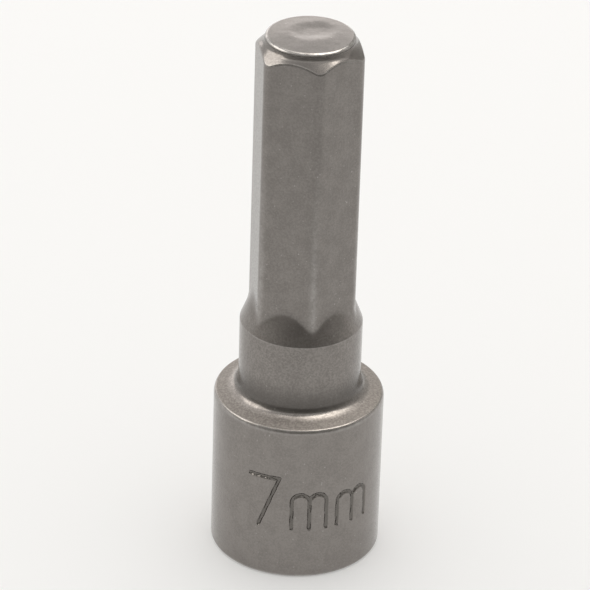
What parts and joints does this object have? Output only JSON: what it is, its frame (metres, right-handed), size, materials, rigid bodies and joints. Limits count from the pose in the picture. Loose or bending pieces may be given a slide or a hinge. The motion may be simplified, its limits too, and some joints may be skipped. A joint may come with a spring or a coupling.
{
  "type": "nut driver",
  "caption": "Short magnetic nut driver bit: hexagonal drive shank with a chamfered end, a round neck and a cylindrical head whose hexagonal socket has a disc magnet behind it.",
  "frame": {"origin": "centre of the socket's rim, on which the driver stands", "axes": "+Z along the axis from the socket towards the end of the shank, -Y towards one corner of the shank, where the size mark is"},
  "size_m": [0.011, 0.011, 0.0364],
  "materials": {
    "blasted_steel": "fine bead-blasted satin, warm grey",
    "nickel_plating": "plated, slightly clouded"
  },
  "bodies": {
    "root": {"driver_body": "blasted_steel", "magnet": "nickel_plating"}
  },
  "joints": []
}
